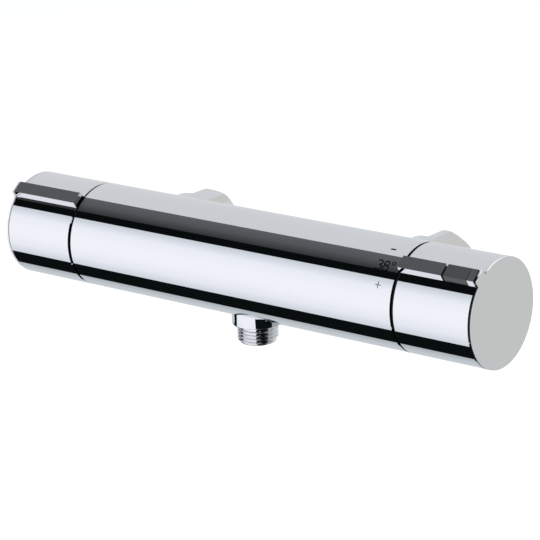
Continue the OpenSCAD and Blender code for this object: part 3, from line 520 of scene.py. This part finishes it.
# %% [markdown]
# The hose outlet is a turned piece, and turned pieces are made as on a lathe: one closed outline
# is spun about an axis. A Screw modifier could do it, but a loop of rings keeps the count of
# faces known. Blunt edges are shaded smooth, and sharp ones stay crisp.

# %% Make a lathe
SMOOTH_BELOW = math.radians(25)


def turned(name, outline, place, segments=128):
    """A closed outline of (radius, height) points spun about local Z, smooth where its edges are blunt."""
    work = bmesh.new()
    angles = [2 * math.pi * k / segments for k in range(segments)]
    rings = [[work.verts.new((r * math.cos(a), r * math.sin(a), z)) for a in angles] for r, z in outline]
    for a, b in zip(rings, rings[1:] + rings[:1]):
        for k in range(segments):
            work.faces.new((a[k], a[(k + 1) % segments], b[(k + 1) % segments], b[k]))
    bmesh.ops.recalc_face_normals(work, faces=work.faces)
    for edge in work.edges:
        edge.smooth = len(edge.link_faces) == 2 and edge.calc_face_angle() < SMOOTH_BELOW
    for face in work.faces:
        face.smooth = True
    mesh = bpy.data.meshes.new(name)
    work.to_mesh(mesh)
    work.free()
    mesh.transform(place)
    piece = bpy.data.objects.new(name, mesh)
    bpy.context.scene.collection.objects.link(piece)
    return piece


print("edges are smooth below", round(math.degrees(SMOOTH_BELOW)), "degrees")

# %% [markdown]
# No real edge is perfectly sharp: a turned edge is broken by a hair and catches a thin line of
# light. A Bevel modifier could do that on the mesh, but it would break every edge alike. So the
# rounds are drawn into the outline, each with its own size, and only at the corners that are named.

# %% Round the corners of an outline
def rounded(corner, before, after, size, steps=4):
    """Points of a small round edge at a corner of an outline, between its two neighbours."""
    corner, before, after = Vector(corner), Vector(before), Vector(after)
    a = corner + (before - corner).normalized() * size
    b = corner + (after - corner).normalized() * size
    return [tuple(a * (1 - t) ** 2 + corner * 2 * t * (1 - t) + b * t ** 2)
            for t in [k / steps for k in range(steps + 1)]]


def softened(outline, sizes):
    """The outline with the corners named in sizes rounded."""
    points = []
    for k, corner in enumerate(outline):
        after = outline[(k + 1) % len(outline)]
        points += rounded(corner, outline[k - 1], after, sizes[k]) if k in sizes else [corner]
    return points


print("points of one round:", len(rounded((1, 1), (0, 1), (1, 0), 0.5)))

# %% [markdown]
# The outlet shows in every view from the front: a round collar, four turns of thread and a plain
# ring at its end. The CAD gives the thread as separate grooves so that its radius can be
# measured. Here the core is turned from one outline, from the shank that sits in the casting down
# to the mouth that the hose is screwed on. The two depths of the collar are counted from the bar's
# axis.

# %% Turn the outlet
COLLAR_R = (nipple_high.x - nipple_low.x) / 2
THREAD_R, THREAD_DEPTH, PITCH = 10.4775 * MM, 1.162 * MM, 1.814 * MM
TIP_R = THREAD_R - THREAD_DEPTH
BORE_R = 6.8 * MM
SHANK_R = 8.9 * MM
DROP = BAR_AXIS.z - nipple_high.z
LENGTH = nipple_high.z - nipple_low.z
SEAT_DEPTH, COLLAR_DEPTH = 22.6 * MM, 30.4 * MM
seat, collar_foot = SEAT_DEPTH - DROP, COLLAR_DEPTH - DROP
PLAIN_TOP, PLAIN_END = 1.2 * MM, 1.5 * MM
tooth_start, tooth_end = collar_foot + PLAIN_TOP, LENGTH - PLAIN_END
SEAL_DEPTH = 1.1 * MM
groove_r, groove_top, groove_foot = SHANK_R - SEAL_DEPTH, 2.0 * MM, 3.8 * MM
outline = [
    (BORE_R, 0), (SHANK_R, 0), (SHANK_R, groove_top), (groove_r, groove_top),
    (groove_r, groove_foot), (SHANK_R, groove_foot), (SHANK_R, seat),
    (COLLAR_R, seat), (COLLAR_R, collar_foot), (TIP_R, collar_foot), (TIP_R, LENGTH), (BORE_R, LENGTH),
]
down = Matrix.Translation((0, BAR_AXIS.y, nipple_high.z)) @ Matrix.Rotation(math.pi, 4, "X")
core = turned("outlet_core", softened(outline, {8: 0.5 * MM, 10: 0.9 * MM, 11: 0.4 * MM}), down)
core.data.materials.append(FINISHES["chrome"])
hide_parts("outlet_nipple")
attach(core, "mixer_body")
print("core turned with", len(core.data.polygons), "faces")

# %% [markdown]
# The hose screws on to a G1/2 thread: 14 turns to the inch on a 20.955 mm diameter. Grooves would
# look nearly right from far away, but from near a thread must climb. So the tooth is one spiral
# laid round the core, sunk in by a hair so that no gap shows.

# %% Lay the hose thread
tooth_len = tooth_end - tooth_start
TOOTH_SINK = 0.02 * MM
tooth = grown(THREAD_TREE, "hose_thread", down @ Matrix.Translation((0, 0, tooth_start)), {
    "Radius": TIP_R + THREAD_DEPTH / 2 - TOOTH_SINK, "Length": tooth_len, "Turns": tooth_len / PITCH,
    "Steps": 96, "Depth": THREAD_DEPTH, "Root Width": 1.45 * MM, "Crest Width": 0.45 * MM,
    "Material": FINISHES["chrome"],
})
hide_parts("outlet_nipple")
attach(tooth, "mixer_body")
print("hose thread turns", round(tooth_len / PITCH, 2))

# %% [markdown]
# The scale by the right joint is printed ink. A picture on the chrome would need a file, and a
# text object would bring a font, so each stroke is a narrow ribbon instead. It follows a drawn
# line and is wrapped round the bar a few hundredths of a millimetre above the chrome.

# %% Draw on the bar
INK_LIFT = 0.03 * MM
MARK_ZERO = 38.0


def arc_points(x, v, rx, rv, start, stop, steps=24):
    return [(x + rx * math.cos(math.radians(a)), v + rv * math.sin(math.radians(a)))
            for a in np.linspace(start, stop, steps)]


def wrap(x, v, lift):
    """A drawing point in millimetres, v measured round the bar from the mark's zero, on the chrome."""
    return around_bar(x * MM, MARK_ZERO + math.degrees(v * MM / BAR_R), BAR_R + lift)


def ribbon(work, points, width, closed=False):
    """Adds one stroke of that width as a thin strip round the bar."""
    points = [Vector(p) for p in points]
    rails = []
    for k, p in enumerate(points):
        before = points[k - 1] if k or closed else p
        after = points[(k + 1) % len(points)] if k < len(points) - 1 or closed else p
        across = Vector((-(after - before).y, (after - before).x)).normalized() * width / 2
        rails.append([work.verts.new(wrap(*edge, INK_LIFT)) for edge in (p + across, p - across)])
    pairs = list(zip(rails, rails[1:])) + ([(rails[-1], rails[0])] if closed else [])
    for a, b in pairs:
        work.faces.new((a[0], b[0], b[1], a[1]))


print("drawings start", MARK_ZERO, "degrees from the top")

# %% [markdown]
# The marks tell the user where the warm water is: a minus above, the 38 degree mark beside the
# rib and a plus below. Two bows make the three, two rings the eight and a small ring the degree
# sign, each with its middle, its half width and height and the stretch that is drawn. The plus is
# thin and the minus is bold, as in the photograph.

# %% Print the marks
STROKE, FINE_STROKE, MINUS_STROKE = 0.74, 0.34, 0.95
SIGN_SHARE = 0.75
RING = (0, 345)
ink = bmesh.new()
for middle, half, stretch, width in (
    ((88.75, 1.4), (1.45, 1.15), (-150, 90), STROKE),
    ((88.7, 3.9), (1.6, 1.3), (-90, 150), STROKE),
    ((92.7, 1.4), (1.3, 1.15), RING, STROKE),
    ((92.8, 3.95), (1.55, 1.35), RING, STROKE),
    ((96.35, 0.9), (0.9, 0.85), RING, STROKE * SIGN_SHARE),
):
    ribbon(ink, arc_points(*middle, *half, *stretch), width, closed=stretch == RING)
MINUS_V, PLUS_X, PLUS_V = -7.5, 91.92, 12.65
ribbon(ink, [(x, MINUS_V) for x in (89.7, 91.15, 92.6)], MINUS_STROKE)
ribbon(ink, [(x, PLUS_V) for x in (90.3, 93.6)], FINE_STROKE)
ribbon(ink, [(PLUS_X, v) for v in (11.0, 12.1, 13.2, 14.4)], FINE_STROKE)
bmesh.ops.recalc_face_normals(ink, faces=ink.faces)
for face in ink.faces:
    away = face.calc_center_median() - BAR_AXIS
    if face.normal.dot(Vector((0, away.y, away.z))) < 0:
        face.normal_flip()
marks_mesh = bpy.data.meshes.new("scale_marks")
ink.to_mesh(marks_mesh)
ink.free()
marks = bpy.data.objects.new("scale_marks", marks_mesh)
bpy.context.scene.collection.objects.link(marks)
marks.data.materials.append(MARK_INK)
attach(marks, "mixer_body")
print("mark faces", len(marks.data.polygons))

# %% [markdown]
# Chrome has no colour of its own: it shows the room. So the studio is built from cards that only
# reflections can see. A lamp would put a hard spot on the chrome, and a card with a soft run of
# brightness across it does what a photographer's softbox does.

# %% Make a glowing card
def card_finish(name, brightness, tint):
    """A glowing card. Its brightness runs through the given values from its first edge to its last.

    tint holds the colour of its edges and that of its middle."""
    material = bpy.data.materials.new(name)
    material.use_nodes = True
    nodes, links = material.node_tree.nodes, material.node_tree.links
    nodes.clear()
    uv = nodes.new("ShaderNodeUVMap")
    uv.uv_map = "across"
    split = nodes.new("ShaderNodeSeparateXYZ")
    ramp = nodes.new("ShaderNodeValToRGB")
    glow = nodes.new("ShaderNodeEmission")
    out = nodes.new("ShaderNodeOutputMaterial")
    ramp.color_ramp.interpolation = "CARDINAL" if len(brightness) > 3 else "LINEAR"
    places = np.linspace(0, 1, len(brightness))
    peak = max(brightness)
    glow.inputs["Strength"].default_value = peak
    while len(ramp.color_ramp.elements) < len(brightness):
        ramp.color_ramp.elements.new(0.5)
    edge, middle = tint
    for element, place, value in zip(ramp.color_ramp.elements, places, brightness):
        element.position = place
        outward = (2 * place - 1) ** 2
        element.color = (*[value / peak * (m + (e - m) * outward) for e, m in zip(edge, middle)], 1)
    links.new(uv.outputs["UV"], split.inputs["Vector"])
    links.new(split.outputs["X"], ramp.inputs["Fac"])
    links.new(ramp.outputs["Color"], glow.inputs["Color"])
    links.new(glow.outputs["Emission"], out.inputs["Surface"])
    return material


DARK = [(0.75, 1.1, 1.1)] * 2
COOL = [(0.87, 0.93, 1), (0.958, 0.95, 1)]
COLD = [(0.88, 0.945, 1)] * 2
WARM = [(1, 1, 0.96)] * 2
print("the softbox is bluest at its edges:", COOL[0])

# %% [markdown]
# Each card is an arc round the bar, because a flat card would taper in the reflection. A UV map
# runs across it from its first angle to its last and carries the brightness. The card must not
# show itself, light the floor or throw a shadow, so it is hidden from every ray but reflections.

# %% Make a curved card
CARD_REACH = 1.0


def only_reflected(card):
    card.visible_camera = False
    card.visible_diffuse = False
    card.visible_shadow = False
    card.visible_transmission = False
    return card


def curved_card(name, start, stop, brightness, tint, x_from, x_to, reach=CARD_REACH, steps=24):
    """A strip of card on an arc round the bar from one angle to another."""
    work = bmesh.new()
    layer = work.loops.layers.uv.new("across")
    rails = []
    for share in np.linspace(0, 1, steps + 1):
        angle = start + (stop - start) * share
        rails.append((share, *[work.verts.new(around_bar(x, angle, reach)) for x in (x_from, x_to)]))
    for a, b in zip(rails, rails[1:]):
        face = work.faces.new((a[1], b[1], b[2], a[2]))
        for loop, share in zip(face.loops, (a[0], b[0], b[0], a[0])):
            loop[layer].uv = (share, 0.5)
    mesh = bpy.data.meshes.new(name)
    work.to_mesh(mesh)
    work.free()
    mesh.materials.append(card_finish(name + "_glow", brightness, tint))
    card = bpy.data.objects.new(name, mesh)
    bpy.context.scene.collection.objects.link(card)
    return only_reflected(card)


print("cards hang", CARD_REACH, "m from the bar's axis")

# %% [markdown]
# The photograph's room reads clearly on the bar, a long curved mirror. Above is a dark ceiling,
# then a black gap, then one wide softbox in front, a black floor card and the pale floor behind.
# A short grey card hangs behind, and a black flag goes on where the softbox ends. An angle is
# turned from straight up towards the front.

# %% Hang the curved cards
PAST_LEFT, FAR_LEFT = -2.5 * CARD_REACH, -1.95 * CARD_REACH
SOFTBOX_RIGHT, FAR_RIGHT = 0.46 * CARD_REACH, 1.6 * CARD_REACH
SOFTBOX_GLOW = (0.80, 1.06, 1.13, 1.14, 1.11, 1.03, 0.86)
curved_card("dark_ceiling", -7.2, 29.6, (0.145, 0.115, 0.042), COLD, PAST_LEFT, FAR_RIGHT)
curved_card("ceiling_edge", 29.6, 45.6, (0.004, 0.004), DARK, PAST_LEFT, FAR_RIGHT)
curved_card("front_softbox", 45.6, 152.1, SOFTBOX_GLOW, COOL, FAR_LEFT, SOFTBOX_RIGHT)
curved_card("floor_card", 152.1, 187.6, (0.005, 0.005), DARK, PAST_LEFT, FAR_RIGHT)
curved_card("pale_floor_strip", 187.6, 226.0, (0.56, 0.71, 0.70), COLD, PAST_LEFT, FAR_RIGHT)
curved_card("rear_grey", 286.0, 334.0, (0.70, 0.66), WARM, -0.2, 0.3)
curved_card("right_flag", 60.0, 150.0, (0.006, 0.006), DARK, SOFTBOX_RIGHT, FAR_RIGHT)

# %% [markdown]
# The nuts, the collar and the flanks of the ribs look sideways, past the ends of the arcs. Upright
# cards stand there: a black one and a grey one on the right, and a black one far to the left.

# %% Stand the side cards
def side_card(name, x, front, rear, low, high, brightness, tint):
    """An upright card across the bar's line, from front to rear and from low to high."""
    mesh = bpy.data.meshes.new(name)
    corners = [(x, front, low), (x, rear, low), (x, rear, high), (x, front, high)]
    mesh.from_pydata([BAR_AXIS + Vector(c) for c in corners], [], [(0, 1, 2, 3)])
    mesh.uv_layers.new(name="across")
    mesh.materials.append(card_finish(name + "_glow", (brightness, brightness), tint))
    card = bpy.data.objects.new(name, mesh)
    bpy.context.scene.collection.objects.link(card)
    return only_reflected(card)


SIDE_X, SIDE_SPLIT, SIDE_LOW = 0.80, 0.22, -0.62
side_card("side_flag", SIDE_X, -0.55, SIDE_SPLIT, SIDE_LOW, 0.70, 0.006, DARK)
side_card("side_grey", SIDE_X, SIDE_SPLIT, 1.3, SIDE_LOW, 0.1, 0.42, WARM)
side_card("left_flag", -1.7, -0.9, -0.06, -1.2, 0.5, 0.006, DARK)

# %% [markdown]
# The photograph shows plain white under the mixer. So the floor is a large pale sheet with a
# faint glow of its own, which keeps it even. It is hidden from reflections, because the cards
# already show the chrome what lies below it.

# %% Lay the floor
FLOOR_DROP, FLOOR_HALF, FLOOR_GLOW = 0.24, 6.0, 0.14
floor_mesh = bpy.data.meshes.new("studio_floor")
corners = [(x * FLOOR_HALF, y * FLOOR_HALF, 0) for x, y in ((-1, -1), (1, -1), (1, 1), (-1, 1))]
floor_mesh.from_pydata(corners, [], [(0, 1, 2, 3)])
floor_mesh.transform(Matrix.Translation((0, 0, low_at_load.z - FLOOR_DROP)))
floor = bpy.data.objects.new("studio_floor", floor_mesh)
bpy.context.scene.collection.objects.link(floor)
floor_finish = finish_of("pale_floor", (0.9, 0.9, 0.9), 0, 0.9, 0.05, grain=4)
floor_shader = floor_finish.node_tree.nodes["Principled BSDF"]
floor_shader.inputs["Emission Color"].default_value = (1, 1, 1, 1)
floor_shader.inputs["Emission Strength"].default_value = FLOOR_GLOW
floor.data.materials.append(floor_finish)
floor.visible_glossy = False
print("floor at", round((low_at_load.z - FLOOR_DROP) / MM), "mm")

# %% [markdown]
# One wide lamp hangs over the mixer, as a ceiling light does. It lights what is matt, the end
# caps, the button and the floor. A mirror would show it as a bright square, so it is hidden from
# reflections.

# %% Hang the lamp
LAMP_SIZE, LAMP_POWER, LAMP_HEIGHT = 3.0, 40, 2.2
lamp_data = bpy.data.lights.new("overhead_lamp", "AREA")
lamp_data.shape = "RECTANGLE"
lamp_data.size, lamp_data.size_y = LAMP_SIZE, LAMP_SIZE
lamp_data.energy = LAMP_POWER
lamp = bpy.data.objects.new("overhead_lamp", lamp_data)
lamp.location = (0, 0, LAMP_HEIGHT)
lamp.visible_glossy = False
lamp.visible_camera = False
bpy.context.scene.collection.objects.link(lamp)
print("lamp at", LAMP_HEIGHT, "m with", LAMP_POWER, "W")

# %% [markdown]
# The world gives the even daylight of a white room. What the camera sees behind the mixer is a
# second, slightly brighter white, because the photograph was cut out on plain white. One world
# could not be both, so the kind of ray chooses between them.

# %% Light the room
ROOM_LIGHT, BACKDROP_LIGHT = 0.76, 1.05
world = bpy.data.worlds.new("white_room")
world.use_nodes = True
nodes, links = world.node_tree.nodes, world.node_tree.links
room = nodes["Background"]
room.inputs["Color"].default_value = (0.955, 0.975, 1, 1)
room.inputs["Strength"].default_value = ROOM_LIGHT
backdrop = nodes.new("ShaderNodeBackground")
backdrop.inputs["Color"].default_value = (1, 1, 1, 1)
backdrop.inputs["Strength"].default_value = BACKDROP_LIGHT
seen = nodes.new("ShaderNodeLightPath")
choose = nodes.new("ShaderNodeMixShader")
links.new(seen.outputs["Is Camera Ray"], choose.inputs["Fac"])
links.new(room.outputs["Background"], choose.inputs[1])
links.new(backdrop.outputs["Background"], choose.inputs[2])
links.new(choose.outputs["Shader"], nodes["World Output"].inputs["Surface"])
bpy.context.scene.world = world
bpy.context.scene.view_settings.view_transform = "Standard"
print("room light", ROOM_LIGHT, "and backdrop", BACKDROP_LIGHT)

# %% [markdown]
# The camera repeats the photograph's. Its direction, roll and focal length were fitted to the
# ends of the bar, the knobs, the nuts and the outlet, with the 150 mm between the inlets as the
# scale. The lens is long, about 160 mm on a 36 mm sensor, from 1.2 m away.

# %% Place the camera
FRAME_PX, SENSOR = 540, 36.0
AZIMUTH, ELEVATION, ROLL = (math.radians(a) for a in (38.07, 17.29, -1.74))
FOCAL_PX = 2430.476
OFFSET = Vector((-7.063, 2.945, 1214.172)) * MM
flat = math.cos(ELEVATION)
back = Vector((math.sin(AZIMUTH) * flat, -math.cos(AZIMUTH) * flat, math.sin(ELEVATION)))
level = Vector((math.cos(AZIMUTH), math.sin(AZIMUTH), 0))
upward = back.cross(level)
right = level * math.cos(ROLL) + upward * math.sin(ROLL)
up = upward * math.cos(ROLL) - level * math.sin(ROLL)
camera_data = bpy.data.cameras.new("camera")
camera_data.sensor_width = SENSOR
camera_data.lens = FOCAL_PX * SENSOR / FRAME_PX
camera = bpy.data.objects.new("camera", camera_data)
eye = BAR_AXIS - OFFSET.x * right - OFFSET.y * up + OFFSET.z * back
camera.matrix_world = Matrix.Translation(eye) @ Matrix((right, up, back)).transposed().to_4x4()
bpy.context.scene.collection.objects.link(camera)
bpy.context.scene.camera = camera
print("lens", round(camera_data.lens, 1), "mm at", [round(x, 3) for x in camera.location])
